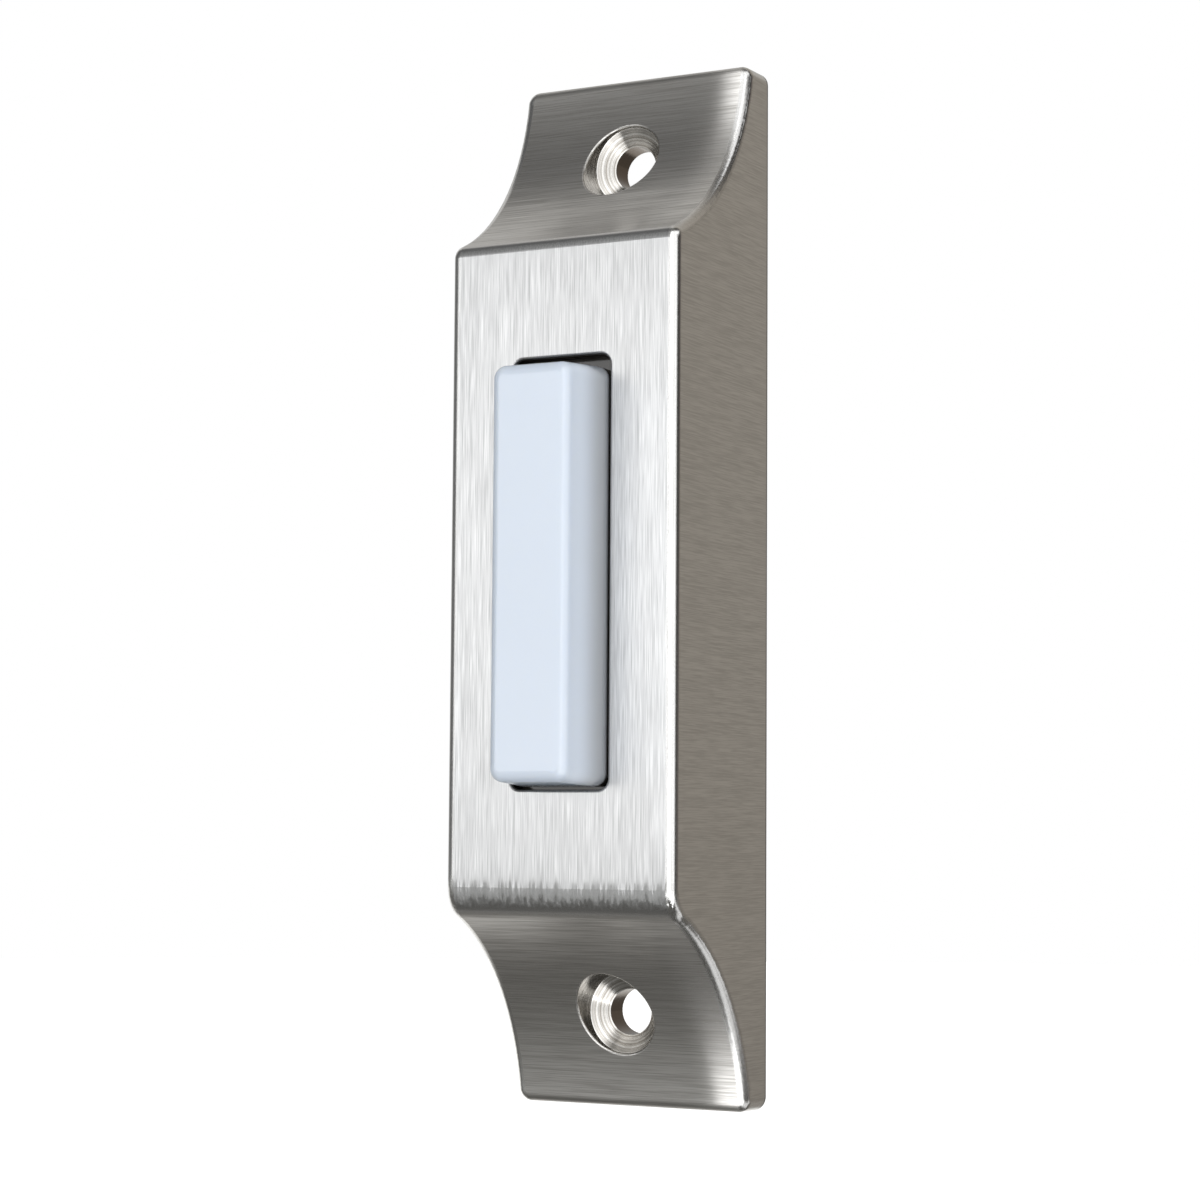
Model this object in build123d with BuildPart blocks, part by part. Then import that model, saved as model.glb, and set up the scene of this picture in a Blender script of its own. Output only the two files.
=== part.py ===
"""Doorbell push button: a die-cast housing with a lit bar button and its switch inside.

Millimetres. +Z is up, the front faces -Y and the wall plane is y = 0. The origin
lies in the wall plane, half-way between the two screw holes.
"""
import os
from math import radians, tan

from build123d import *

# Housing, outside
body_height = 105.0
back_width = 26.0
side_draft = 1.5
body_depth = 20.0
front_height = 65.4
ear_end_thickness = 4.1
cove_radius = 25.0
ear_corner_radius = 1.4
upper_crease_radius = 1.4
lower_crease_radius = 3.4
outer_edge_radius = 1.0

# Housing, inside
front_wall = 2.0
side_wall = 2.0
cove_wall = 2.0
ear_rim = 1.8
ear_recess_depth = 1.4
seat_block_wall = 1.5

# Screw holes in the ears
hole_outward_shift = 0.4
hole_diameter = 4.6
seat_diameter = 8.1
seat_cone_angle = 120.0
seat_wall_least = 0.45
seat_rim_radius = 0.2

# Opening in the front face
aperture_width = 10.7
aperture_height = 42.0
aperture_corner_radius = 1.1
aperture_edge_radius = 0.3

# Bar button
button_side_gap = 0.3
button_upper_gap = 1.2
button_lower_gap = 0.3
button_proud = 6.35
button_side_lean = 0.9
button_end_lean = 0.35
button_corner_radius = 1.3
button_edge_radius = 1.05
button_wall = 1.3
button_travel = 1.5
flange_overlap = 1.2
flange_thickness = 1.2

# Return springs
spring_offset = 16.2
spring_outer_diameter = 4.0
spring_wire = 0.4
spring_turns = 6
spring_post_clearance = 0.35
button_post_length = 4.0
base_pin_length = 2.5

# Switch base
base_width = 16.0
base_length = 61.0
base_thickness = 2.5
base_corner_radius = 1.5
base_setback = 5.5
stop_width = 1.6
stop_length = 3.0
stop_gap = 0.1
boss_offset = 27.5
boss_diameter = 5.2
base_screw_diameter = 2.2
base_screw_reach = 4.4
base_screw_head_diameter = 4.4
base_screw_head_height = 1.5
screw_clearance = 0.1
screw_tip_gap = 0.4
driver_slot_width = 0.7
driver_slot_depth = 0.7

# Contacts
leaf_width = 4.0
leaf_thickness = 0.3
leaf_rise = 2.7
leaf_fixing_z = 3.0
leaf_foot_above = 2.0
leaf_foot_below = 2.6
contact_z = -11.7
leaf_tip_margin = 1.8
plunger_above_contact = 3.1
leaf_flat_above_plunger = 1.8
plunger_diameter = 2.6
plunger_gap = 0.3
contact_point_diameter = 2.4
contact_point_height = 0.5
contact_tail_diameter = 1.2
contact_tail_height = 0.2
rivet_shank_diameter = 1.8
rivet_head_diameter = 3.0
rivet_head_height = 0.6
fixed_contact_height = 0.9

# Terminals
strap_thickness = 0.8
strap_edge = 7.0
strap_return = 2.0
strap_below = 2.8
strap_above = 4.2
strap_corner_radius = 0.8
terminal_x = 4.6
terminal_screw_diameter = 2.9
terminal_screw_reach = 1.6
terminal_head_diameter = 5.6
terminal_head_height = 1.8
terminal_slot_width = 0.9
terminal_slot_depth = 0.9
washer_side = 5.4
washer_thickness = 0.6

# Lamp and resistor
lamp_z = 9.6
lamp_diameter = 3.0
lamp_collar_diameter = 3.8
lamp_collar_height = 0.8
lamp_height = 4.8
lead_pitch = 2.54
lead_diameter = 0.5
lead_bend_radius = 0.7
lead_hole_clearance = 0.4
lead_on_strap = 1.2
splice_length = 1.6
splice_gap = 1.2
resistor_x = 3.4
resistor_below_lamp = 4.8
resistor_length = 4.6
resistor_diameter = 1.9
resistor_waist_diameter = 1.6
resistor_cap_length = 1.1

# Depths worked out from the sizes above, all measured along Y
front_y = -body_depth
inner_front_y = front_y + front_wall
button_top_y = front_y - button_proud
button_inner_y = button_top_y + button_wall
flange_back_y = inner_front_y + flange_thickness
base_front_y = inner_front_y + base_setback
base_back_y = base_front_y + base_thickness
strap_back_y = base_back_y + strap_thickness
washer_back_y = strap_back_y + washer_thickness
leaf_foot_y = base_front_y - leaf_thickness
leaf_tip_y = leaf_foot_y - leaf_rise
lead_y = strap_back_y + lead_diameter / 2

# Heights and widths worked out in the same way
half_height = body_height / 2
half_front = front_height / 2
hole_z = (half_front + half_height) / 2 + hole_outward_shift
cavity_half_width = back_width / 2 - body_depth * tan(radians(side_draft)) - side_wall
seat_block_z = hole_z - seat_diameter / 2 - seat_block_wall
button_width = aperture_width - 2 * button_side_gap
button_height = aperture_height - button_upper_gap - button_lower_gap
button_z = (button_lower_gap - button_upper_gap) / 2
flange_width = aperture_width + 2 * flange_overlap
flange_height = aperture_height + 2 * flange_overlap
spring_radius = (spring_outer_diameter - spring_wire) / 2
post_diameter = spring_outer_diameter - 2 * spring_wire - 2 * spring_post_clearance
lead_x = lead_pitch / 2
plunger_z = contact_z + plunger_above_contact
leaf_foot_top = leaf_fixing_z + leaf_foot_above
leaf_foot_bottom = leaf_fixing_z - leaf_foot_below
leaf_flat_top = plunger_z + leaf_flat_above_plunger
leaf_tip_bottom = contact_z - leaf_tip_margin
resistor_top = lamp_z - resistor_below_lamp
resistor_bottom = resistor_top - resistor_length

# The cove is an arc that starts at the front face and ends at the ear's end.
cove_start = (front_y, half_front)
cove_end = (-ear_end_thickness, half_height)
cove_arc = RadiusArc(cove_start, cove_end, -cove_radius)
cove_centre = cove_arc.arc_center

# Inside, the wall follows the cove at a constant thickness, down to the screw seat's block.
inner_cove_radius = cove_radius + cove_wall


def cove_y(z, radius):
    """Depth at a height z of a surface that lies at this radius round the cove's centre."""
    return cove_centre.X + (radius**2 - (z - cove_centre.Y) ** 2) ** 0.5


def cove_z(y, radius):
    """Height at a depth y of a surface that lies at this radius round the cove's centre."""
    return cove_centre.Y - (radius**2 - (y - cove_centre.X) ** 2) ** 0.5


def outline(faces):
    """Edges that belong to one of the faces only, which is the outline of the group."""
    every_edge = [edge for face in faces for edge in face.edges()]
    return ShapeList(edge for edge in every_edge if every_edge.count(edge) == 1)


os.makedirs("parts", exist_ok=True)

# Housing: a drafted block, cut to its side profile with a cove at each end
with BuildPart() as housing:
    with BuildSketch(Plane.XZ):
        RectangleRounded(back_width, body_height, ear_corner_radius)
    extrude(amount=body_depth, taper=side_draft)
    with BuildSketch(Plane.YZ):
        with BuildLine():
            Polyline((front_y, 0), cove_start)
            RadiusArc(cove_start, cove_end, -cove_radius)
            Polyline(cove_end, (-ear_end_thickness, half_height + 1), (0, half_height + 1), (0, 0))
            mirror(about=Plane.XZ)
        make_face()
    extrude(amount=back_width, both=True, mode=Mode.INTERSECT)
    lower_crease, upper_crease = housing.edges().filter_by(Axis.X).group_by(Axis.Y)[0].sort_by(Axis.Z)
    fillet(upper_crease, upper_crease_radius)
    fillet(lower_crease, lower_crease_radius)
    fillet(outline(housing.faces().filter_by(lambda face: face.normal_at().Y < -0.2)), outer_edge_radius)

    # Hollow, open at the back, with a shallow recess behind each ear
    with BuildSketch(Plane.YZ):
        with BuildLine():
            chamber_corner = (inner_front_y, cove_z(inner_front_y, inner_cove_radius))
            block_corner = (cove_y(seat_block_z, inner_cove_radius), seat_block_z)
            Polyline((inner_front_y, 0), chamber_corner)
            RadiusArc(chamber_corner, block_corner, -inner_cove_radius)
            Polyline(
                block_corner,
                (-ear_recess_depth, seat_block_z),
                (-ear_recess_depth, half_height - ear_rim),
                (0, half_height - ear_rim),
                (0, 0),
            )
            mirror(about=Plane.XZ)
        make_face()
    extrude(amount=cavity_half_width, both=True, mode=Mode.SUBTRACT)

    # Opening for the button, with its front edge rounded
    with BuildSketch(Plane.XZ.offset(body_depth)):
        RectangleRounded(aperture_width, aperture_height, aperture_corner_radius)
    extrude(amount=-front_wall - 1, mode=Mode.SUBTRACT)
    front_face = housing.faces().filter_by(Axis.Y).sort_by(Axis.Y)[0]
    fillet(front_face.inner_wires()[0].edges(), aperture_edge_radius)

    # Screw holes: a counterbore with a conical seat, its wall lowest on the side towards the ear's end
    seat_wall_y = cove_y(hole_z + seat_diameter / 2, cove_radius) + seat_wall_least
    cone_depth = (seat_diameter - hole_diameter) / 2 / tan(radians(seat_cone_angle / 2))
    land_y = seat_wall_y + cone_depth
    for centre_z in (hole_z, -hole_z):
        with BuildSketch(Plane.YZ):
            with BuildLine():
                Polyline(
                    (0, centre_z),
                    (0, centre_z + hole_diameter / 2),
                    (land_y, centre_z + hole_diameter / 2),
                    (seat_wall_y, centre_z + seat_diameter / 2),
                    (front_y, centre_z + seat_diameter / 2),
                    (front_y, centre_z),
                    close=True,
                )
            make_face()
        revolve(axis=Axis((0, 0, centre_z), (0, 1, 0)), mode=Mode.SUBTRACT)
        curved_rim = housing.edges(Select.LAST).filter_by(
            lambda edge: edge.geom_type not in (GeomType.CIRCLE, GeomType.LINE)
        )
        fillet(curved_rim, seat_rim_radius)

    # Bosses that the switch base is screwed to
    with BuildSketch(Plane.XZ.offset(-inner_front_y)):
        with Locations((0, boss_offset), (0, -boss_offset)):
            Circle(boss_diameter / 2)
    extrude(amount=-base_setback)
    with BuildSketch(Plane.XZ.offset(-base_front_y)):
        with Locations((0, boss_offset), (0, -boss_offset)):
            Circle(base_screw_diameter / 2 + screw_clearance / 2)
    extrude(amount=base_screw_reach + screw_tip_gap, mode=Mode.SUBTRACT)
housing.part.label = "housing"
export_step(housing.part, "parts/housing.step")

# Bar button: a hollow moulded cap with leaning sides and a flange behind the front wall.
# It hangs low in its opening, so the gap above it is wider than the one below.
with BuildPart() as button_bar:
    with BuildSketch(Plane.XZ.offset(body_depth)):
        with Locations((0, button_z)):
            RectangleRounded(button_width, button_height, button_corner_radius)
    with BuildSketch(Plane.XZ.offset(-button_top_y)):
        with Locations((0, button_z)):
            RectangleRounded(
                button_width - 2 * button_side_lean,
                button_height - 2 * button_end_lean,
                button_corner_radius,
            )
    loft()
    fillet(button_bar.faces().sort_by(Axis.Y)[0].edges(), button_edge_radius)
    with BuildSketch(Plane.XZ.offset(body_depth)):
        with Locations((0, button_z)):
            RectangleRounded(button_width, button_height, button_corner_radius)
    extrude(amount=-front_wall)
    with BuildSketch(Plane.XZ.offset(-inner_front_y)):
        RectangleRounded(flange_width, flange_height, button_corner_radius)
    extrude(amount=-flange_thickness)

    # Hollow from behind, with the same lean as the outside
    with BuildSketch(Plane.XZ.offset(body_depth)) as cap_mouth:
        with Locations((0, button_z)):
            Rectangle(button_width - 2 * button_wall, button_height - 2 * button_wall)
    with BuildSketch(Plane.XZ.offset(-button_inner_y)):
        with Locations((0, button_z)):
            Rectangle(
                button_width - 2 * button_wall - 2 * button_side_lean,
                button_height - 2 * button_wall - 2 * button_end_lean,
            )
    loft(mode=Mode.SUBTRACT)
    extrude(cap_mouth.sketch, amount=-front_wall - flange_thickness, mode=Mode.SUBTRACT)

    # Spring posts and the plunger that presses the contact leaf
    with BuildSketch(Plane.XZ.offset(-button_inner_y)):
        with Locations((0, spring_offset), (0, -spring_offset)):
            Circle(post_diameter / 2)
    extrude(amount=-button_post_length)
    with BuildSketch(Plane.XZ.offset(-button_inner_y)):
        with Locations((0, plunger_z)):
            Circle(plunger_diameter / 2)
    extrude(amount=button_inner_y - (leaf_tip_y - plunger_gap))
button_bar.part.label = "button_bar"
export_step(button_bar.part, "parts/button_bar.step")

# Return springs, one near each end of the button
for name, centre_z in (("upper", spring_offset), ("lower", -spring_offset)):
    spring_start = button_inner_y + spring_wire / 2
    spring_length = base_front_y - button_inner_y - spring_wire
    with BuildPart() as return_spring:
        with BuildLine() as coil:
            Helix(
                spring_length / spring_turns,
                spring_length,
                spring_radius,
                center=(0, spring_start, centre_z),
                direction=(0, 1, 0),
            )
        with BuildSketch(Plane(origin=coil.line @ 0, z_dir=coil.line % 0)):
            Circle(spring_wire / 2)
        sweep(is_frenet=True)
    return_spring.part.label = f"return_spring_{name}"
    export_step(return_spring.part, f"parts/return_spring_{name}.step")

# Switch base: a moulded plate with stops for the button and pins for the springs
with BuildPart() as switch_base:
    with BuildSketch(Plane.XZ.offset(-base_back_y)):
        RectangleRounded(base_width, base_length, base_corner_radius)
    extrude(amount=base_thickness)
    with BuildSketch(Plane.XZ.offset(-base_front_y)):
        stop_spacing = (flange_width - stop_width, flange_height - stop_length)
        with GridLocations(stop_spacing[0], stop_spacing[1], 2, 2):
            Rectangle(stop_width, stop_length)
    extrude(amount=base_front_y - flange_back_y - button_travel - stop_gap)
    with BuildSketch(Plane.XZ.offset(-base_front_y)):
        with Locations((0, spring_offset), (0, -spring_offset)):
            Circle(post_diameter / 2)
    extrude(amount=base_pin_length)

    # Holes for the fixing screws, the rivets and the lamp's leads
    with BuildSketch(Plane.XZ.offset(-base_back_y)):
        with Locations((0, boss_offset), (0, -boss_offset)):
            Circle(base_screw_diameter / 2 + screw_clearance)
        with Locations((0, leaf_fixing_z), (0, contact_z)):
            Circle(rivet_shank_diameter / 2)
        with Locations((-lead_x, lamp_z), (lead_x, lamp_z)):
            Circle(lead_diameter / 2 + lead_hole_clearance / 2)
    extrude(amount=base_thickness, mode=Mode.SUBTRACT)
    with BuildSketch(Plane.XZ.offset(-base_back_y)):
        with Locations((-terminal_x, leaf_fixing_z), (terminal_x, contact_z)):
            Circle(terminal_screw_diameter / 2)
    extrude(amount=terminal_screw_reach + screw_clearance, mode=Mode.SUBTRACT)
switch_base.part.label = "switch_base"
export_step(switch_base.part, "parts/switch_base.step")

# Screws that hold the base to the housing
for name, centre_z in (("upper", boss_offset), ("lower", -boss_offset)):
    with BuildPart() as base_screw:
        with BuildSketch(Plane.XZ.offset(-base_back_y)):
            with Locations((0, centre_z)):
                Circle(base_screw_head_diameter / 2)
        extrude(amount=-base_screw_head_height)
        fillet(base_screw.edges().sort_by(Axis.Y)[-1], base_screw_head_height * 0.4)
        with BuildSketch(Plane.XZ.offset(-base_back_y)):
            with Locations((0, centre_z)):
                Circle(base_screw_diameter / 2)
        extrude(amount=base_thickness + base_screw_reach)
        with BuildSketch(Plane.XZ.offset(-base_back_y - base_screw_head_height)):
            with Locations((0, centre_z)):
                Rectangle(base_screw_head_diameter, driver_slot_width)
        extrude(amount=driver_slot_depth, mode=Mode.SUBTRACT)
    base_screw.part.label = f"base_screw_{name}"
    export_step(base_screw.part, f"parts/base_screw_{name}.step")

# Contact leaf: a bent strip, riveted at its foot and free at its tip
with BuildPart() as contact_leaf:
    with BuildSketch(Plane.YZ):
        with BuildLine():
            Polyline(
                (base_front_y, leaf_foot_top),
                (base_front_y, leaf_foot_bottom),
                (leaf_tip_y + leaf_thickness, leaf_flat_top),
                (leaf_tip_y + leaf_thickness, leaf_tip_bottom),
                (leaf_tip_y, leaf_tip_bottom),
                (leaf_tip_y, leaf_flat_top),
                (leaf_foot_y, leaf_foot_bottom),
                (leaf_foot_y, leaf_foot_top),
                close=True,
            )
        make_face()
    extrude(amount=leaf_width / 2, both=True)
    with BuildSketch(Plane.XZ.offset(-base_front_y)):
        with Locations((0, leaf_fixing_z)):
            Circle(rivet_shank_diameter / 2)
    extrude(amount=leaf_thickness, mode=Mode.SUBTRACT)
    with BuildSketch(Plane.XZ.offset(-leaf_tip_y)):
        with Locations((0, contact_z)):
            Circle(contact_tail_diameter / 2)
    extrude(amount=-leaf_thickness, mode=Mode.SUBTRACT)
contact_leaf.part.label = "contact_leaf"
export_step(contact_leaf.part, "parts/contact_leaf.step")

# Contact point riveted through the leaf's tip
with BuildPart() as leaf_contact_point:
    with BuildSketch(Plane.YZ):
        with BuildLine():
            leaf_tip_back_y = leaf_tip_y + leaf_thickness
            Polyline(
                (leaf_tip_y - contact_tail_height, contact_z),
                (leaf_tip_y - contact_tail_height, contact_z + contact_point_diameter / 3),
                (leaf_tip_y, contact_z + contact_point_diameter / 3),
                (leaf_tip_y, contact_z + contact_tail_diameter / 2),
                (leaf_tip_back_y, contact_z + contact_tail_diameter / 2),
                (leaf_tip_back_y, contact_z + contact_point_diameter / 2),
                (leaf_tip_back_y + contact_point_height / 2, contact_z + contact_point_diameter / 2),
                (leaf_tip_back_y + contact_point_height, contact_z + contact_point_diameter / 4),
                (leaf_tip_back_y + contact_point_height, contact_z),
                close=True,
            )
        make_face()
    revolve(axis=Axis((0, 0, contact_z), (0, 1, 0)))
leaf_contact_point.part.label = "leaf_contact_point"
export_step(leaf_contact_point.part, "parts/leaf_contact_point.step")

# Rivets: one clamps the leaf to the base, the other is the fixed contact itself
rivets = (
    ("leaf_rivet", leaf_fixing_z, leaf_foot_y, rivet_head_height),
    ("fixed_contact_rivet", contact_z, base_front_y, fixed_contact_height),
)
for name, centre_z, seat_y, head_height in rivets:
    with BuildPart() as rivet:
        with BuildSketch(Plane.XZ.offset(-seat_y)):
            with Locations((0, centre_z)):
                Circle(rivet_head_diameter / 2)
        extrude(amount=head_height)
        fillet(rivet.edges().sort_by(Axis.Y)[0], head_height / 2)
        with BuildSketch(Plane.XZ.offset(-seat_y)):
            with Locations((0, centre_z)):
                Circle(rivet_shank_diameter / 2)
        extrude(amount=seat_y - strap_back_y)
        with BuildSketch(Plane.XZ.offset(-strap_back_y)):
            with Locations((0, centre_z)):
                Circle(rivet_head_diameter / 2)
        extrude(amount=-rivet_head_height)
        fillet(rivet.edges().sort_by(Axis.Y)[-1], rivet_head_height / 2)
    rivet.part.label = name
    export_step(rivet.part, f"parts/{name}.step")

# Terminals: a brass strap, a screw and a clamping washer for each of the two wires
terminals = (
    ("upper", -1, leaf_fixing_z),
    ("lower", 1, contact_z),
)
for name, side, centre_z in terminals:
    screw_x = side * terminal_x
    strap_centre = (side * (strap_edge - strap_return) / 2, centre_z + (strap_above - strap_below) / 2)
    with BuildPart() as terminal_strap:
        with BuildSketch(Plane.XZ.offset(-strap_back_y)):
            with Locations(strap_centre):
                RectangleRounded(strap_edge + strap_return, strap_above + strap_below, strap_corner_radius)
            with Locations((0, centre_z)):
                Circle(rivet_shank_diameter / 2, mode=Mode.SUBTRACT)
            with Locations((screw_x, centre_z)):
                Circle(terminal_screw_diameter / 2 + screw_clearance / 2, mode=Mode.SUBTRACT)
        extrude(amount=strap_thickness)
    terminal_strap.part.label = f"terminal_strap_{name}"
    export_step(terminal_strap.part, f"parts/terminal_strap_{name}.step")

    with BuildPart() as clamp_washer:
        with BuildSketch(Plane.XZ.offset(-washer_back_y)):
            with Locations((screw_x, centre_z)):
                RectangleRounded(washer_side, washer_side, strap_corner_radius)
                Circle(terminal_screw_diameter / 2 + screw_clearance / 2, mode=Mode.SUBTRACT)
        extrude(amount=washer_thickness)
    clamp_washer.part.label = f"clamp_washer_{name}"
    export_step(clamp_washer.part, f"parts/clamp_washer_{name}.step")

    with BuildPart() as terminal_screw:
        with BuildSketch(Plane.XZ.offset(-washer_back_y)):
            with Locations((screw_x, centre_z)):
                Circle(terminal_head_diameter / 2)
        extrude(amount=-terminal_head_height)
        fillet(terminal_screw.edges().sort_by(Axis.Y)[-1], terminal_head_height * 0.4)
        with BuildSketch(Plane.XZ.offset(-washer_back_y)):
            with Locations((screw_x, centre_z)):
                Circle(terminal_screw_diameter / 2)
        extrude(amount=washer_back_y - base_back_y + terminal_screw_reach)
        with BuildSketch(Plane.XZ.offset(-washer_back_y - terminal_head_height)):
            with Locations((screw_x, centre_z)):
                Rectangle(terminal_head_diameter, terminal_slot_width)
        extrude(amount=terminal_slot_depth, mode=Mode.SUBTRACT)
    terminal_screw.part.label = f"terminal_screw_{name}"
    export_step(terminal_screw.part, f"parts/terminal_screw_{name}.step")

# Lamp that lights the button from behind
with BuildPart() as lamp:
    with BuildSketch(Plane.YZ):
        with BuildLine():
            dome_y = base_front_y - lamp_height + lamp_diameter / 2
            Polyline(
                (dome_y, lamp_z + lamp_diameter / 2),
                (base_front_y - lamp_collar_height, lamp_z + lamp_diameter / 2),
                (base_front_y - lamp_collar_height, lamp_z + lamp_collar_diameter / 2),
                (base_front_y, lamp_z + lamp_collar_diameter / 2),
                (base_front_y, lamp_z),
                (base_front_y - lamp_height, lamp_z),
            )
            RadiusArc(
                (base_front_y - lamp_height, lamp_z),
                (dome_y, lamp_z + lamp_diameter / 2),
                lamp_diameter / 2,
            )
        make_face()
    revolve(axis=Axis((0, 0, lamp_z), (0, 1, 0)))
lamp.part.label = "lamp"
export_step(lamp.part, "parts/lamp.step")

# The lamp's leads pass through the base: one to a terminal strap, one to the resistor
splice_x = resistor_x - lead_diameter
lead_routes = {
    "lamp_lead_left": (
        (-lead_x, base_front_y, lamp_z),
        (-lead_x, lead_y, lamp_z),
        (-lead_x, lead_y, leaf_fixing_z + strap_above - lead_on_strap),
    ),
    "lamp_lead_right": (
        (lead_x, base_front_y, lamp_z),
        (lead_x, lead_y, lamp_z),
        (splice_x, lead_y, lamp_z),
        (splice_x, lead_y, resistor_top + splice_gap),
    ),
}
for name, route in lead_routes.items():
    with BuildPart() as lamp_lead:
        with BuildLine() as path:
            FilletPolyline(*route, radius=lead_bend_radius)
        with BuildSketch(Plane(origin=path.line @ 0, z_dir=path.line % 0)):
            Circle(lead_diameter / 2)
        sweep()
    lamp_lead.part.label = name
    export_step(lamp_lead.part, f"parts/{name}.step")

# Resistor in series with the lamp, with a lead at each end
with BuildPart() as resistor:
    with BuildSketch(Plane(origin=(resistor_x, lead_y, 0), x_dir=(1, 0, 0), z_dir=(0, -1, 0))):
        with BuildLine():
            cap_radius = resistor_diameter / 2
            waist_radius = resistor_waist_diameter / 2
            Polyline(
                (0, resistor_top),
                (cap_radius, resistor_top),
                (cap_radius, resistor_top - resistor_cap_length),
                (waist_radius, resistor_top - resistor_cap_length - (cap_radius - waist_radius)),
                (waist_radius, resistor_bottom + resistor_cap_length + (cap_radius - waist_radius)),
                (cap_radius, resistor_bottom + resistor_cap_length),
                (cap_radius, resistor_bottom),
                (0, resistor_bottom),
                close=True,
            )
        make_face()
    revolve(axis=Axis((resistor_x, lead_y, 0), (0, 0, 1)))
    end_edges = resistor.edges().group_by(Axis.Z)
    fillet(end_edges[0] + end_edges[-1], cap_radius / 2)
resistor.part.label = "resistor"
export_step(resistor.part, "parts/resistor.step")

resistor_leads = (
    ("upper", resistor_top, splice_gap + splice_length),
    ("lower", resistor_bottom, contact_z + strap_above - lead_on_strap - resistor_bottom),
)
for name, start_z, length in resistor_leads:
    with BuildPart() as resistor_lead:
        with BuildSketch(Plane.XY.offset(start_z)):
            with Locations((resistor_x, lead_y)):
                Circle(lead_diameter / 2)
        extrude(amount=length)
    resistor_lead.part.label = f"resistor_lead_{name}"
    export_step(resistor_lead.part, f"parts/resistor_lead_{name}.step")
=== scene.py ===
# %% [markdown]
# A doorbell push button, dressed for its portrait.
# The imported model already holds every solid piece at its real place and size, in metres:
# +Z is up, the front and the button face -Y, and the wall plane is y = 0. It is loaded first
# and never moved. Everything after this gives it finishes, a few finer pieces, light and a camera.

# %% Load the frame
from math import cos, pi, radians, sin
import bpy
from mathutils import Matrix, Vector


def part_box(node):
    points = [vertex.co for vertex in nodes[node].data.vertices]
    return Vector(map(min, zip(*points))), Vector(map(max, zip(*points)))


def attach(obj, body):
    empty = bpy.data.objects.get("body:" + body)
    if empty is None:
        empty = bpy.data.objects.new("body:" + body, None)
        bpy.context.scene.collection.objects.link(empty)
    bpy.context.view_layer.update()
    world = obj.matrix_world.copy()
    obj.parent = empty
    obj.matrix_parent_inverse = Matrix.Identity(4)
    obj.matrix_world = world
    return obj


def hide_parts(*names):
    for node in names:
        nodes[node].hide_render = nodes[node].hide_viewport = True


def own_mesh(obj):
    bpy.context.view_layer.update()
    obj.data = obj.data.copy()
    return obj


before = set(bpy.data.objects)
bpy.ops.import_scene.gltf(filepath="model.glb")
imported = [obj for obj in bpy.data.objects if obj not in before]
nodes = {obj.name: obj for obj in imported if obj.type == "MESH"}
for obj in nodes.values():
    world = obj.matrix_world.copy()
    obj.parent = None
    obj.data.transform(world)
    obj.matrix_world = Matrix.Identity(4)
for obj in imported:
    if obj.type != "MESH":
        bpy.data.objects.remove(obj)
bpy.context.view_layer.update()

from types import SimpleNamespace

import bpy
from mathutils import Vector

MM = 0.001
bpy.context.scene.view_settings.view_transform = "Standard"
print("nodes loaded:", len(nodes))

# %% [markdown]
# The camera stands below the middle of the housing, to its right, and looks a little upwards, so both
# ears show their front and the right side shows its full depth. The place and the turn were
# worked out from the straight edges of the housing, and a long lens keeps them nearly parallel.

# %% Camera
CAMERA_PLACE = Vector((127.88, -257.71, -24.85)) * MM
CAMERA_TURN = (radians(94.69), radians(-0.40), radians(27.41))
CAMERA_LENS = 84.16
CAMERA_SENSOR = 36.0

camera_data = bpy.data.cameras.new("portrait_camera")
camera_data.lens = CAMERA_LENS
camera_data.sensor_width = CAMERA_SENSOR
camera_data.clip_start = 0.01
camera = bpy.data.objects.new("portrait_camera", camera_data)
camera.location = CAMERA_PLACE
camera.rotation_euler = CAMERA_TURN
bpy.context.scene.collection.objects.link(camera)
bpy.context.scene.camera = camera
print("camera distance in mm:", round(CAMERA_PLACE.length / MM, 1))

# %% [markdown]
# Materials are node trees, and building them node by node is wordy. A few small helpers keep the
# recipes short: one adds a node and fills its sockets, one starts a material with its shader, and the
# others are the handful of nodes that every recipe here uses.
# A value that is given as a socket of another node becomes a link.

# %% Material helpers
def add_node(tree, kind, sockets=None, **settings):
    """A new node with these settings; sockets maps an input's name or number to a value or a socket."""
    node = tree.nodes.new(kind)
    for name, value in settings.items():
        setattr(node, name, value)
    for name, value in (sockets or {}).items():
        if isinstance(value, bpy.types.NodeSocket):
            tree.links.new(value, node.inputs[name])
        else:
            node.inputs[name].default_value = value
    return node


def start_material(name, **sockets):
    """A material whose shader has these plain values; returns the material, its tree and its shader."""
    material = bpy.data.materials.new(name)
    material.use_nodes = True
    tree = material.node_tree
    shader = tree.nodes["Principled BSDF"]
    for socket, value in sockets.items():
        shader.inputs[socket.replace("_", " ")].default_value = value
    return material, tree, shader


def arithmetic(tree, operation, *values):
    """The output of a Math node."""
    return add_node(tree, "ShaderNodeMath", dict(enumerate(values)), operation=operation).outputs[0]


def all_of(tree, first, *others):
    """The product of some values: 1 only where each of them is 1."""
    product = first
    for value in others:
        product = arithmetic(tree, "MULTIPLY", product, value)
    return product


def any_of(tree, first, *others):
    """The largest of some values: 1 where one of them is 1."""
    largest = first
    for value in others:
        largest = arithmetic(tree, "MAXIMUM", largest, value)
    return largest


def step_between(tree, value, low, high):
    """Rises smoothly from 0 at low to 1 at high; low may be the larger of the two."""
    sockets = {"Value": value, "From Min": low, "From Max": high}
    return add_node(tree, "ShaderNodeMapRange", sockets, interpolation_type="SMOOTHSTEP").outputs[0]


def mix_values(tree, factor, first, second):
    """The value output of a Mix node."""
    return add_node(tree, "ShaderNodeMix", {0: factor, 2: first, 3: second}, data_type="FLOAT").outputs[0]


def mix_vectors(tree, factor, first, second):
    """The vector output of a Mix node."""
    return add_node(tree, "ShaderNodeMix", {0: factor, 4: first, 5: second}, data_type="VECTOR").outputs[1]


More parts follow.
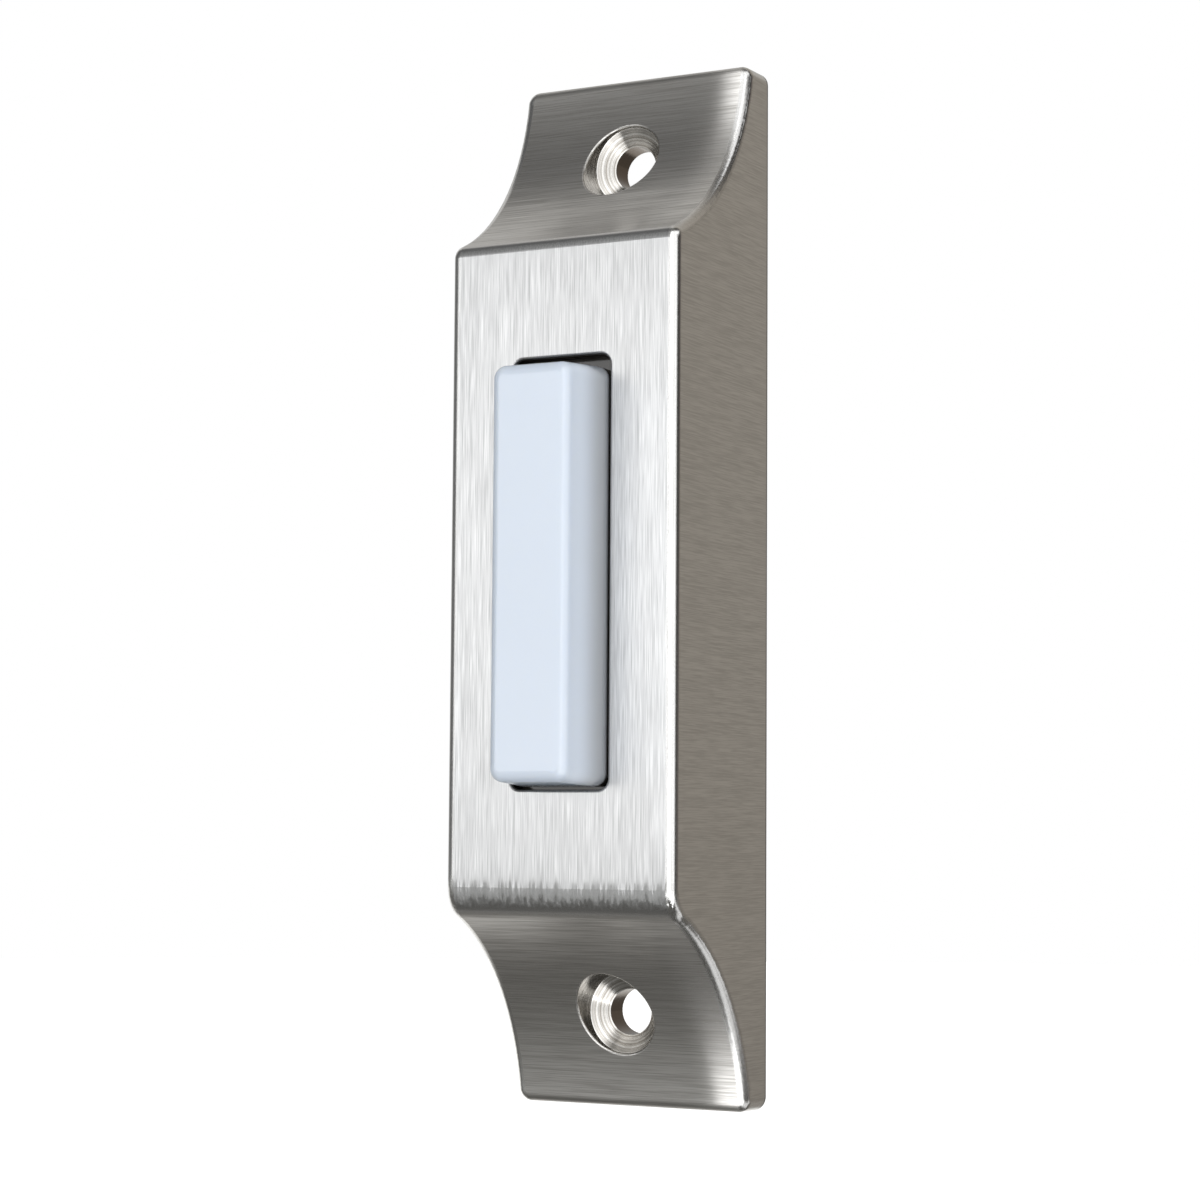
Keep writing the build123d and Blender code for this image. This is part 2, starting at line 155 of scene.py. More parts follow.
def mix_colours(tree, factor, first, second):
    """The colour output of a Mix node."""
    return add_node(tree, "ShaderNodeMix", {0: factor, 6: first, 7: second}, data_type="RGBA").outputs[2]


def vector_math(tree, operation, *vectors):
    """The vector output of a Vector Math node."""
    return add_node(tree, "ShaderNodeVectorMath", dict(enumerate(vectors)), operation=operation).outputs[0]


def length(tree, vector):
    """How long a vector is."""
    return add_node(tree, "ShaderNodeVectorMath", {0: vector}, operation="LENGTH").outputs["Value"]


def combine(tree, x=0.0, y=0.0, z=0.0):
    """A vector with these parts."""
    return add_node(tree, "ShaderNodeCombineXYZ", {0: x, 1: y, 2: z}).outputs[0]


def noise(tree, vector, scale, detail=2.0, roughness=0.5):
    """The value output of a Noise Texture node."""
    sockets = {"Vector": vector, "Scale": scale, "Detail": detail, "Roughness": roughness}
    return add_node(tree, "ShaderNodeTexNoise", sockets).outputs["Fac"]


def object_place(tree):
    """Where a point lies on the part, in metres."""
    return add_node(tree, "ShaderNodeTexCoord").outputs["Object"]


def add_relief(tree, shader, height, strength, distance=0.02 * MM, **more):
    """Lets a height bend the shader's normal."""
    sockets = {"Strength": strength, "Distance": distance, "Height": height, **more}
    tree.links.new(add_node(tree, "ShaderNodeBump", sockets).outputs[0], shader.inputs["Normal"])


def dress(names, material):
    """Gives CAD nodes a material."""
    for name in names:
        nodes[name].data.materials.clear()
        nodes[name].data.materials.append(material)


# %% [markdown]
# The housing is cast in zinc, plated in satin nickel and brushed on a belt. It is one solid, so one
# material has to look different on its front, its flanks, its two hollow curves (the coves) and its
# ears, its rounded edges, its screw holes, and the bare casting behind. Painting masks would need
# pictures. Instead the material works out where a point lies from its coordinates, with the housing's
# own measures. Each value found here is 1 on one kind of face and 0 elsewhere.

# %% Faces of the housing
FRONT_Y = -20.0 * MM
SIDE_DRAFT = 0.02619
HALF_BACK = 13.0 * MM
CREASE_Z = 32.7 * MM
COVE_CENTRE_Y = -28.84 * MM
COVE_CENTRE_Z = 56.08 * MM
COVE_RADIUS = 25.0 * MM
HOLE_Z = 43.0 * MM
SEAT_RADIUS = 4.05 * MM
BORE_RADIUS = 2.3 * MM
LAND_Y = -4.07 * MM
HOLLOW_HALF_WIDTH = 10.6 * MM
HOLLOW_FROM_COVE = 1.0 * MM
FRONT_WALL = 1.9 * MM
OPENING_HALF_WIDTH = 5.5 * MM
OPENING_HALF_HEIGHT = 21.2 * MM
OPENING_LIP = 0.45 * MM
BACK_SKIN = -0.25 * MM


def find_faces(tree):
    """The place of a point on the housing, and the values that say which face it is on."""
    at = SimpleNamespace(place=object_place(tree))
    xyz = add_node(tree, "ShaderNodeSeparateXYZ", {0: at.place}).outputs
    at.x, at.depth, at.z = xyz["X"], xyz["Y"], xyz["Z"]
    at.across = arithmetic(tree, "ABSOLUTE", at.x)
    at.height = arithmetic(tree, "ABSOLUTE", at.z)

    flank_x = arithmetic(tree, "MULTIPLY_ADD", at.depth, SIDE_DRAFT, HALF_BACK)
    at.from_flank = arithmetic(tree, "SUBTRACT", flank_x, at.across)
    at.on_flank = step_between(tree, at.from_flank, 0.20 * MM, 0.10 * MM)
    near_flank = step_between(tree, at.from_flank, 1.05 * MM, 0.80 * MM)
    off_flank = step_between(tree, at.from_flank, 0.02 * MM, 0.10 * MM)
    at.on_edge = all_of(tree, near_flank, off_flank)
    at.on_front = step_between(tree, at.height, CREASE_Z + 0.5 * MM, CREASE_Z - 0.3 * MM)

    at.from_hole = length(tree, combine(tree, at.x, arithmetic(tree, "SUBTRACT", at.height, HOLE_Z)))
    at.in_hole = step_between(tree, at.from_hole, SEAT_RADIUS + 0.08 * MM, SEAT_RADIUS + 0.02 * MM)
    in_bore = arithmetic(tree, "LESS_THAN", at.from_hole, BORE_RADIUS + 0.06 * MM)
    at.in_bore = all_of(tree, in_bore, arithmetic(tree, "GREATER_THAN", at.depth, LAND_Y + 0.03 * MM))
    return at


def find_casting(tree, at):
    """Adds where the opening is, and where the metal is bare: in the hollow, the opening and the back."""
    from_centre = (
        arithmetic(tree, "SUBTRACT", at.depth, COVE_CENTRE_Y),
        arithmetic(tree, "SUBTRACT", at.height, COVE_CENTRE_Z),
    )
    from_cove = length(tree, combine(tree, *from_centre))
    behind_cove = arithmetic(tree, "GREATER_THAN", from_cove, COVE_RADIUS + HOLLOW_FROM_COVE)
    at.in_opening = all_of(
        tree,
        arithmetic(tree, "LESS_THAN", at.height, OPENING_HALF_HEIGHT),
        arithmetic(tree, "LESS_THAN", at.across, OPENING_HALF_WIDTH),
    )
    wall = arithmetic(tree, "MULTIPLY_ADD", at.in_opening, OPENING_LIP - FRONT_WALL, FRONT_WALL)
    behind_front = arithmetic(tree, "GREATER_THAN", at.depth, arithmetic(tree, "ADD", wall, FRONT_Y))
    between_flanks = arithmetic(tree, "LESS_THAN", at.across, HOLLOW_HALF_WIDTH)
    out_of_hole = arithmetic(tree, "SUBTRACT", 1.0, at.in_hole)
    in_hollow = all_of(tree, behind_cove, behind_front, between_flanks, out_of_hole)
    at.bare = any_of(tree, in_hollow, arithmetic(tree, "GREATER_THAN", at.depth, BACK_SKIN))


# %% [markdown]
# Each face is brushed one way: the front up and down, the coves and ears from side to side, and the
# flanks from front to back. The marks are noise that is squeezed across them and stretched along them.
# They do two things. They show as fine streaks, and they smear every reflection across themselves,
# which is why brushed metal looks soft one way and crisp the other. The shader's tangent sets the
# way of that smear, so it turns with the face too. The holes are turned, and their marks are rings.

# %% Brush marks
COVE_SQUEEZE = (150.0, 9400.0, 9400.0)
FRONT_SQUEEZE = (14500.0, 14500.0, 190.0)
FLANK_SQUEEZE = (9400.0, 150.0, 9400.0)
BROAD_SCALE = 0.22
RING_SCALE = 4200.0
UPRIGHT = (0.0, 0.0, 1.0)
SIDEWAYS = (1.0, 0.0, 0.0)


def brush_marks(tree, at):
    """The streaks and rings, and how unevenly the belt pressed."""
    squeeze = mix_vectors(tree, at.on_front, COVE_SQUEEZE, FRONT_SQUEEZE)
    squeeze = mix_vectors(tree, at.on_flank, squeeze, FLANK_SQUEEZE)
    squeezed = vector_math(tree, "MULTIPLY", at.place, squeeze)
    fine = noise(tree, squeezed, 1.0, detail=2.0, roughness=0.6)
    broad = noise(tree, squeezed, BROAD_SCALE, detail=2.0, roughness=0.5)
    streaks = mix_values(tree, 0.22, fine, broad)
    rings = noise(tree, combine(tree, at.from_hole, at.depth), RING_SCALE, detail=3.0, roughness=0.7)
    marks = mix_values(tree, at.in_hole, streaks, rings)
    wear = mix_values(tree, 0.60, fine, broad)
    return marks, wear


def across_the_marks(tree, at):
    """The way in which reflections spread."""
    nearer_hole = arithmetic(tree, "MULTIPLY", arithmetic(tree, "SIGN", at.z), HOLE_Z)
    outward = combine(tree, at.x, 0.0, arithmetic(tree, "SUBTRACT", at.z, nearer_hole))
    spread = mix_vectors(tree, at.on_front, UPRIGHT, SIDEWAYS)
    spread = mix_vectors(tree, at.on_flank, spread, UPRIGHT)
    return mix_vectors(tree, at.in_hole, spread, outward)


# %% [markdown]
# A hand holds the casting against the belt, and never quite squarely. So the metal is worn a little
# more along the coves' right sides, where it turns towards the light, and just above the lower crease,
# where the belt ran off the front in ragged strokes. This is far too slight to model. A small lean of
# the normal gives it: sideways at the coves, and downwards, by an uneven amount, at the crease.

# %% Wear of the belt
SIDE_REACH = 6.0 * MM
SIDE_LEAN = 0.066
STROKES_START_Z = -30.4 * MM
STROKES_LONGEST = 3.6
STROKES_LEAN = -0.030


def worn_normal(tree, at, wear):
    """The surface's normal, leaned where the belt wore it."""
    reach = arithmetic(tree, "DIVIDE", arithmetic(tree, "SUBTRACT", SIDE_REACH, at.from_flank), MM)
    side_lean = arithmetic(tree, "MULTIPLY", any_of(tree, reach, 0.0), SIDE_LEAN)
    off_front = arithmetic(tree, "SUBTRACT", 1.0, at.on_front)
    on_right = any_of(tree, arithmetic(tree, "SIGN", at.x), 0.0)
    side_lean = all_of(tree, side_lean, off_front, on_right)

    past = arithmetic(tree, "DIVIDE", arithmetic(tree, "SUBTRACT", STROKES_START_Z, at.z), MM)
    past = arithmetic(tree, "ADD", past, arithmetic(tree, "MULTIPLY_ADD", wear, 8.0, -3.0))
    past = arithmetic(tree, "MINIMUM", any_of(tree, past, 0.0), STROKES_LONGEST)
    in_crease = step_between(tree, at.z, STROKES_START_Z + 0.8 * MM, STROKES_START_Z - 0.4 * MM)
    ragged = all_of(tree, arithmetic(tree, "MULTIPLY_ADD", wear, -1.1, 0.52), in_crease)
    down_lean = arithmetic(tree, "MULTIPLY_ADD", past, STROKES_LEAN, ragged)
    down_lean = arithmetic(tree, "MULTIPLY", down_lean, at.on_front)

    lean = combine(tree, side_lean, 0.0, down_lean)
    lean = mix_vectors(tree, any_of(tree, at.on_flank, at.bare), lean, (0.0, 0.0, 0.0))
    normal = add_node(tree, "ShaderNodeNewGeometry").outputs["Normal"]
    return vector_math(tree, "NORMALIZE", vector_math(tree, "ADD", normal, lean))


# %% [markdown]
# Now the plating itself. Every face has a dark and a light nickel, and the marks choose between them:
# calm on the front and the flanks, more streaked on the coves, and bright on the rounded edges, which
# a belt polishes most. The screw's bore is brown and the opening bare casting, and both are painted
# dark, painted shade since little light gets in there. The hollow behind is bare casting, dull and grainy.

# %% Satin nickel
COVE_NICKEL = ((0.48, 0.468, 0.447, 1.0), (0.79, 0.778, 0.758, 1.0))
FRONT_NICKEL = ((0.52, 0.525, 0.53, 1.0), (0.79, 0.795, 0.80, 1.0))
FLANK_NICKEL = ((0.55, 0.54, 0.52, 1.0), (0.69, 0.68, 0.66, 1.0))
EDGE_NICKEL = ((0.78, 0.78, 0.77, 1.0), (0.88, 0.88, 0.875, 1.0))
HOLE_NICKEL = ((0.34, 0.32, 0.29, 1.0), (0.74, 0.73, 0.71, 1.0))
# the bore's brown, darkened as painted shade
BORE_BROWN_AND_SHADE = (0.15, 0.12, 0.095, 1.0)
BARE_CASTING = ((0.30, 0.30, 0.30, 1.0), (0.46, 0.46, 0.45, 1.0))
# bare casting in the opening, darkened as painted shade
OPENING_CASTING_IN_SHADE = ((0.05, 0.042, 0.035, 1.0), (0.10, 0.085, 0.07, 1.0))


def nickel_colour(tree, at, contrast, grain):
    """Plating by face, and bare casting behind it."""
    plated = mix_colours(tree, contrast, *COVE_NICKEL)
    for on_face, nickel in (
        (at.on_front, FRONT_NICKEL),
        (at.on_flank, FLANK_NICKEL),
        (at.on_edge, EDGE_NICKEL),
        (at.in_hole, HOLE_NICKEL),
    ):
        plated = mix_colours(tree, on_face, plated, mix_colours(tree, contrast, *nickel))
    # painted shade: the screw's bore is darkened where little light gets in
    plated = mix_colours(tree, at.in_bore, plated, BORE_BROWN_AND_SHADE)
    # painted shade: the opening's bare casting is darkened where little light gets in
    dark = mix_colours(tree, at.in_opening, BARE_CASTING[0], OPENING_CASTING_IN_SHADE[0])
    light = mix_colours(tree, at.in_opening, BARE_CASTING[1], OPENING_CASTING_IN_SHADE[1])
    return mix_colours(tree, at.bare, plated, mix_colours(tree, grain, dark, light))


def make_satin_nickel():
    """Brushed plating outside, turned rings in the screw holes and bare casting in the hollow."""
    material, tree, shader = start_material("satin_nickel", Metallic=1.0, Anisotropic=0.70)
    at = find_faces(tree)
    find_casting(tree, at)
    marks, wear = brush_marks(tree, at)
    contrast = step_between(tree, marks, 0.33, 0.67)
    grain = noise(tree, at.place, 2600.0, detail=4.0, roughness=0.6)
    tree.links.new(nickel_colour(tree, at, contrast, grain), shader.inputs["Base Color"])

    rough = arithmetic(tree, "MULTIPLY_ADD", contrast, -0.08, 0.36)
    for on_face, value in ((at.on_edge, 0.22), (at.in_hole, 0.15), (at.bare, 0.55)):
        rough = mix_values(tree, on_face, rough, value)
    tree.links.new(rough, shader.inputs["Roughness"])

    calm = any_of(tree, at.on_front, at.on_flank, at.in_hole)
    strength = mix_values(tree, calm, 0.20, 0.07)
    for on_face, value in ((at.on_edge, 0.03), (at.in_hole, 0.80)):
        strength = mix_values(tree, on_face, strength, value)
    height = mix_values(tree, at.bare, marks, grain)
    add_relief(tree, shader, height, strength, Normal=worn_normal(tree, at, wear))
    tree.links.new(across_the_marks(tree, at), shader.inputs["Tangent"])
    return material


satin_nickel = make_satin_nickel()
dress(["housing"], satin_nickel)
print("satin nickel has", len(satin_nickel.node_tree.nodes), "shader nodes")

# %% [markdown]
# The button is moulded in a milky plastic that lets the lamp shine through. It is glossy, a touch blue,
# and light sinks a little way into it before it comes back, so its shaded side stays soft. The foot of
# its sides is painted darker, painted shade where less light reaches, and the flange behind the front
# is painted black, painted shade for the dark gap round the button. A faint blue glow is painted light
# that brightens it. A faint unevenness keeps it from looking like a drawn shape.

# %% Button plastic
MILK = ((0.675, 0.74, 0.84, 1.0), (0.705, 0.77, 0.87, 1.0))
# painted shade for the foot of the button's sides
SHADED_FOOT = (0.34, 0.36, 0.39, 1.0)
# painted shade: black on the flange, for the dark gap round the button
GAP_SHADE_BLACK = (0.03, 0.026, 0.022, 1.0)
# painted light: a faint blue glow that brightens the button
GLOW_BLUE_PAINTED = (0.55, 0.76, 1.0, 1.0)
PAINTED_GLOW_STRENGTH = 0.05


def make_button_plastic():
    """Milky, glossy moulding with a little depth."""
    material, tree, shader = start_material(
        "button_plastic",
        Roughness=0.12,
        IOR=1.49,
        Specular_IOR_Level=0.9,
        Subsurface_Weight=0.25,
        Subsurface_Scale=1.2 * MM,
        Subsurface_Radius=(1.0, 1.1, 1.3),
        Emission_Color=GLOW_BLUE_PAINTED,
    )
    place = object_place(tree)
    depth = add_node(tree, "ShaderNodeSeparateXYZ", {0: place}).outputs["Y"]
    # painted shade: the colour darkens towards the foot of the sides
    near_foot = step_between(tree, depth, FRONT_Y - 4.6 * MM, FRONT_Y - 0.2 * MM)
    # painted shade: the flange behind the front is painted black, for the dark gap round the button
    in_gap_shade = step_between(tree, depth, FRONT_Y + 0.10 * MM, FRONT_Y + 0.60 * MM)
    colour = mix_colours(tree, noise(tree, place, 90.0), *MILK)
    colour = mix_colours(tree, near_foot, colour, SHADED_FOOT)
    colour = mix_colours(tree, in_gap_shade, colour, GAP_SHADE_BLACK)
    tree.links.new(colour, shader.inputs["Base Color"])
    # painted light: the faint blue glow, kept off the painted foot and flange
    glow_share = arithmetic(tree, "SUBTRACT", 1.0, any_of(tree, near_foot, in_gap_shade))
    tree.links.new(arithmetic(tree, "MULTIPLY", glow_share, PAINTED_GLOW_STRENGTH), shader.inputs["Emission Strength"])
    add_relief(tree, shader, noise(tree, place, 240.0, detail=1.0), 0.03, distance=0.05 * MM)
    return material


dress(["button_bar"], make_button_plastic())

# %% [markdown]
# The pieces inside are the plain stock of small switchgear: a black moulded base, rolled brass
# and bronze strip, zinc-plated screws, a silver contact, tinned wire, a clear lamp and a lacquered
# resistor. Each gets a short recipe with its own grain, so none is a flat colour.

# %% Materials of the switch
def make_metal(name, light, dark, roughness, grain_scale):
    """A metal whose colour and gloss wander with a fine grain."""
    material, tree, shader = start_material(name, Metallic=1.0)
    place = object_place(tree)
    drawn_out = vector_math(tree, "MULTIPLY", place, (1.0, 1.0, 0.15))
    grain = noise(tree, drawn_out, grain_scale, detail=3.0, roughness=0.6)
    stain = noise(tree, place, 320.0)
    worn = step_between(tree, mix_values(tree, 0.5, grain, stain), 0.35, 0.65)
    tree.links.new(mix_colours(tree, worn, dark, light), shader.inputs["Base Color"])
    rough = arithmetic(tree, "MULTIPLY_ADD", worn, -0.08, roughness + 0.04)
    tree.links.new(rough, shader.inputs["Roughness"])
    add_relief(tree, shader, grain, 0.1)
    return material


def make_base_plastic():
    """Matt black moulding with a fine spark-eroded texture."""
    material, tree, shader = start_material("base_plastic", Roughness=0.52)
    place = object_place(tree)
    smear = noise(tree, place, 150.0)
    colour = mix_colours(tree, smear, (0.014, 0.014, 0.015, 1.0), (0.034, 0.034, 0.036, 1.0))
    tree.links.new(colour, shader.inputs["Base Color"])
    add_relief(tree, shader, noise(tree, place, 5200.0), 0.25)
    return material


def make_lamp_epoxy():
    """Clear, faintly yellow moulded lens."""
    material, tree, shader = start_material("lamp_epoxy", Roughness=0.06, IOR=1.52, Transmission_Weight=0.9)
    haze = noise(tree, object_place(tree), 900.0)
    colour = mix_colours(tree, haze, (0.96, 0.94, 0.86, 1.0), (0.90, 0.87, 0.76, 1.0))
    tree.links.new(colour, shader.inputs["Base Color"])
    return material


HALF_BAND = 0.24 * MM
RESISTOR_BANDS = (
    (0.88, (0.28, 0.03, 0.02, 1.0)),
    (0.66, (0.01, 0.09, 0.30, 1.0)),
    (0.50, (0.12, 0.05, 0.02, 1.0)),
    (0.14, (0.55, 0.37, 0.10, 1.0)),
)


def make_resistor_lacquer():
    """Tan lacquer with four painted bands, the last one set apart."""
    material, tree, shader = start_material("resistor_body", Roughness=0.28)
    place = object_place(tree)
    height = add_node(tree, "ShaderNodeSeparateXYZ", {0: place}).outputs["Z"]
    low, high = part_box("resistor")
    colour = mix_colours(tree, noise(tree, place, 1400.0), (0.55, 0.42, 0.25, 1.0), (0.64, 0.50, 0.31, 1.0))
    for share, paint in RESISTOR_BANDS:
        centre = low.z + share * (high.z - low.z)
        gap = arithmetic(tree, "ABSOLUTE", arithmetic(tree, "SUBTRACT", height, centre))
        colour = mix_colours(tree, arithmetic(tree, "LESS_THAN", gap, HALF_BAND), colour, paint)
    tree.links.new(colour, shader.inputs["Base Color"])
    return material


screw_zinc = make_metal("screw_zinc", (0.72, 0.73, 0.74, 1.0), (0.52, 0.53, 0.55, 1.0), 0.26, 3000.0)
strip_brass = make_metal("strip_brass", (0.80, 0.60, 0.28, 1.0), (0.62, 0.44, 0.19, 1.0), 0.30, 4200.0)
leaf_bronze = make_metal("leaf_bronze", (0.78, 0.52, 0.30, 1.0), (0.60, 0.38, 0.21, 1.0), 0.27, 4200.0)
contact_silver = make_metal("contact_silver", (0.90, 0.89, 0.86, 1.0), (0.70, 0.69, 0.66, 1.0), 0.24, 2600.0)
tinned_wire = make_metal("tinned_wire", (0.74, 0.74, 0.73, 1.0), (0.56, 0.56, 0.55, 1.0), 0.34, 3600.0)
spring_wire = make_metal("spring_wire", (0.62, 0.62, 0.63, 1.0), (0.44, 0.44, 0.46, 1.0), 0.25, 5200.0)

screws = [name for name in nodes if name.startswith(("base_screw", "terminal_screw", "clamp_washer"))]
dress(screws, screw_zinc)
dress(["terminal_strap_upper", "terminal_strap_lower", "leaf_rivet"], strip_brass)
dress(["contact_leaf"], leaf_bronze)
dress(["leaf_contact_point", "fixed_contact_rivet"], contact_silver)
dress([name for name in nodes if "_lead_" in name], tinned_wire)
dress(["return_spring_upper", "return_spring_lower"], spring_wire)
dress(["switch_base"], make_base_plastic())
dress(["lamp"], make_lamp_epoxy())
dress(["resistor"], make_resistor_lacquer())
print("screws and washers dressed:", sorted(screws))

# %% [markdown]
# The two return springs are wound wire. A plain helix is enough to show where they go, but a real
# compression spring ends in a closed coil at each end, which lets it stand square on its seat.
# A ring of vertices is the wire's section, and the Screw modifier sweeps it: one flat turn, five open
# turns and one flat turn more. The three lengths share their end rings, so merging doubles makes one
# wire. A real spring gets shorter when the button goes in.

# %% Return springs
SPRING_Z = 16.2 * MM
SPRING_SEAT_Y = -12.5 * MM
SPRING_TOP_Y = -25.05 * MM
SPRING_RADIUS = 1.8 * MM
WIRE_RADIUS = 0.2 * MM
WIRE_SIDES = 12
STEPS_A_TURN = 30
OPEN_TURNS = 5
CLOSED_PITCH = 2.06 * WIRE_RADIUS
MERGE_DISTANCE = 0.002 * MM


def take_only(piece):
    """Deselects everything else and makes this piece the active one."""
    bpy.ops.object.select_all(action="DESELECT")
    piece.select_set(True)
    bpy.context.view_layer.objects.active = piece


def wind_turns(turns, pitch, start):
    """Wire wound upwards round the Z axis from a start height, as an open tube."""
    bpy.ops.object.select_all(action="DESELECT")
    bpy.ops.mesh.primitive_circle_add(
        vertices=WIRE_SIDES,
        radius=WIRE_RADIUS,
        location=(SPRING_RADIUS, 0.0, start),
        rotation=(pi / 2, 0.0, 0.0),
    )
    turn = bpy.context.object
    bpy.ops.object.transform_apply(location=True, rotation=True, scale=True)
    screw = turn.modifiers.new("winding", "SCREW")
    screw.angle = 2 * pi * turns
    screw.screw_offset = pitch * turns
    screw.steps = STEPS_A_TURN * turns
    screw.render_steps = STEPS_A_TURN * turns
    bpy.ops.object.modifier_apply(modifier="winding")
    return turn


def wind_spring(name, height):
    """A spring with a closed coil at each end, standing on the base at this height."""
    wire_height = SPRING_SEAT_Y - SPRING_TOP_Y - 2 * WIRE_RADIUS
    open_pitch = (wire_height - 2 * CLOSED_PITCH) / OPEN_TURNS
    parts = [
        wind_turns(1, CLOSED_PITCH, WIRE_RADIUS),
        wind_turns(OPEN_TURNS, open_pitch, WIRE_RADIUS + CLOSED_PITCH),
        wind_turns(1, CLOSED_PITCH, WIRE_RADIUS + wire_height - CLOSED_PITCH),
    ]
    take_only(parts[0])
    for part in parts:
        part.select_set(True)
    bpy.ops.object.join()
    spring = bpy.context.object
    spring.name = name
    bpy.ops.object.mode_set(mode="EDIT")
    bpy.ops.mesh.select_all(action="SELECT")
    bpy.ops.mesh.remove_doubles(threshold=MERGE_DISTANCE)
    bpy.ops.mesh.fill_holes(sides=0)
    bpy.ops.mesh.normals_make_consistent(inside=False)
    bpy.ops.transform.rotate(value=-pi / 2, orient_axis="X", center_override=(0.0, 0.0, 0.0))
    bpy.ops.transform.translate(value=(0.0, SPRING_SEAT_Y, height))
    bpy.ops.object.mode_set(mode="OBJECT")
    bpy.ops.object.shade_smooth_by_angle(angle=radians(40.0))
    spring.data.materials.append(spring_wire)
    return spring


def depths_in_mm(piece):
    """How far from the wall a piece's foremost and hindmost corners are."""
    depths = [(piece.matrix_world @ Vector(corner)).y for corner in piece.bound_box]
    return round(min(depths) / MM, 2), round(max(depths) / MM, 2)


for side, height in (("upper", SPRING_Z), ("lower", -SPRING_Z)):
    spring = wind_spring(f"wound_spring_{side}", height)
    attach(spring, "housing_body")
    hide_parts(f"return_spring_{side}")
    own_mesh(spring)
    print(spring.name, len(spring.data.polygons), "faces, between y", *depths_in_mm(spring))

# %% [markdown]
# The contact leaf is a strip of spring bronze, cut and bent in a press. It is modelled the way it is
# made: a flat foot is laid on the base, then its lower edge is extruded down the ramp and along the free
# end. Solidify gives it the strip's thickness, and a small bevel takes the cut edges and softens the
# bends. The real leaf follows the plunger when the button goes in.

# %% Contact leaf
LEAF_BACK_Y = -12.5 * MM
LEAF_TIP_BACK_Y = -15.2 * MM
LEAF_THICKNESS = 0.3 * MM
LEAF_HALF_WIDTH = 2.0 * MM
LEAF_TOP_Z = 5.0 * MM
LEAF_FIRST_STRIP = 0.2 * MM
LEAF_BENDS = (
    (LEAF_BACK_Y, 0.4 * MM),
    (LEAF_TIP_BACK_Y, -6.8 * MM),
    (LEAF_TIP_BACK_Y, -12.3 * MM),
    (LEAF_TIP_BACK_Y, -13.5 * MM),
)
LEAF_END_TAPER = 0.72
LEAF_SOFTENING = 0.07 * MM


def pick_lowest_edge(piece):
    """Selects the row of vertices at the strip's lower end."""
    bpy.ops.mesh.select_all(action="DESELECT")
    bpy.ops.object.mode_set(mode="OBJECT")
    lowest = min(vertex.co.z for vertex in piece.data.vertices)
    for vertex in piece.data.vertices:
        vertex.select = vertex.co.z < lowest + 0.01 * MM
    bpy.ops.object.mode_set(mode="EDIT")


def press_leaf():
    """The strip: foot, ramp and free end, with a thickness and softened edges."""
    bpy.ops.object.select_all(action="DESELECT")
    bpy.ops.mesh.primitive_plane_add(
        size=1.0,
        location=(0.0, LEAF_BACK_Y, LEAF_TOP_Z - LEAF_FIRST_STRIP / 2),
        rotation=(pi / 2, 0.0, 0.0),
    )
    leaf = bpy.context.object
    leaf.name = "pressed_leaf"
    leaf.scale = (2 * LEAF_HALF_WIDTH, LEAF_FIRST_STRIP, 1.0)
    bpy.ops.object.transform_apply(location=True, rotation=True, scale=True)
    bpy.ops.object.mode_set(mode="EDIT")
    bpy.ops.mesh.select_mode(type="VERT")
    depth, height = LEAF_BACK_Y, LEAF_TOP_Z - LEAF_FIRST_STRIP
    for next_depth, next_height in LEAF_BENDS:
        pick_lowest_edge(leaf)
        step = (0.0, next_depth - depth, next_height - height)
        bpy.ops.mesh.extrude_region_move(TRANSFORM_OT_translate={"value": step})
        depth, height = next_depth, next_height
    pick_lowest_edge(leaf)
    bpy.ops.transform.resize(value=(LEAF_END_TAPER, 1.0, 1.0), center_override=(0.0, 0.0, 0.0))
    bpy.ops.object.mode_set(mode="OBJECT")
    thick = leaf.modifiers.new("strip", "SOLIDIFY")
    thick.thickness = LEAF_THICKNESS
    thick.offset = 1.0
    bpy.ops.object.modifier_apply(modifier="strip")
    soft = leaf.modifiers.new("cut_edges", "BEVEL")
    soft.width = LEAF_SOFTENING
    soft.segments = 3
    soft.limit_method = "ANGLE"
    soft.angle_limit = radians(15.0)
    bpy.ops.object.modifier_apply(modifier="cut_edges")
    bpy.ops.object.shade_smooth_by_angle(angle=radians(40.0))
    leaf.data.materials.append(leaf_bronze)
    return leaf


# %% [markdown]
# The leaf's silver point is a rivet, so it is turned: half its outline is drawn with extruded vertices,
# starting from a plane that is merged into one vertex, and spun round the rivet's axis. It has a
# shallow dome behind the leaf and a tail that is riveted over in front of it, and moves with the leaf.

# %% Contact point
POINT_Z = -11.7 * MM
POINT_OUTLINE = (
    (0.0, 0.5),
    (0.5, 0.48),
    (0.86, 0.38),
    (1.1, 0.2),
    (1.2, 0.0),
    (0.6, 0.0),
    (0.6, -0.3),
    (0.8, -0.3),
    (0.8, -0.4),
    (0.62, -0.5),
    (0.0, -0.5),
)
POINT_SPIN_STEPS = 40


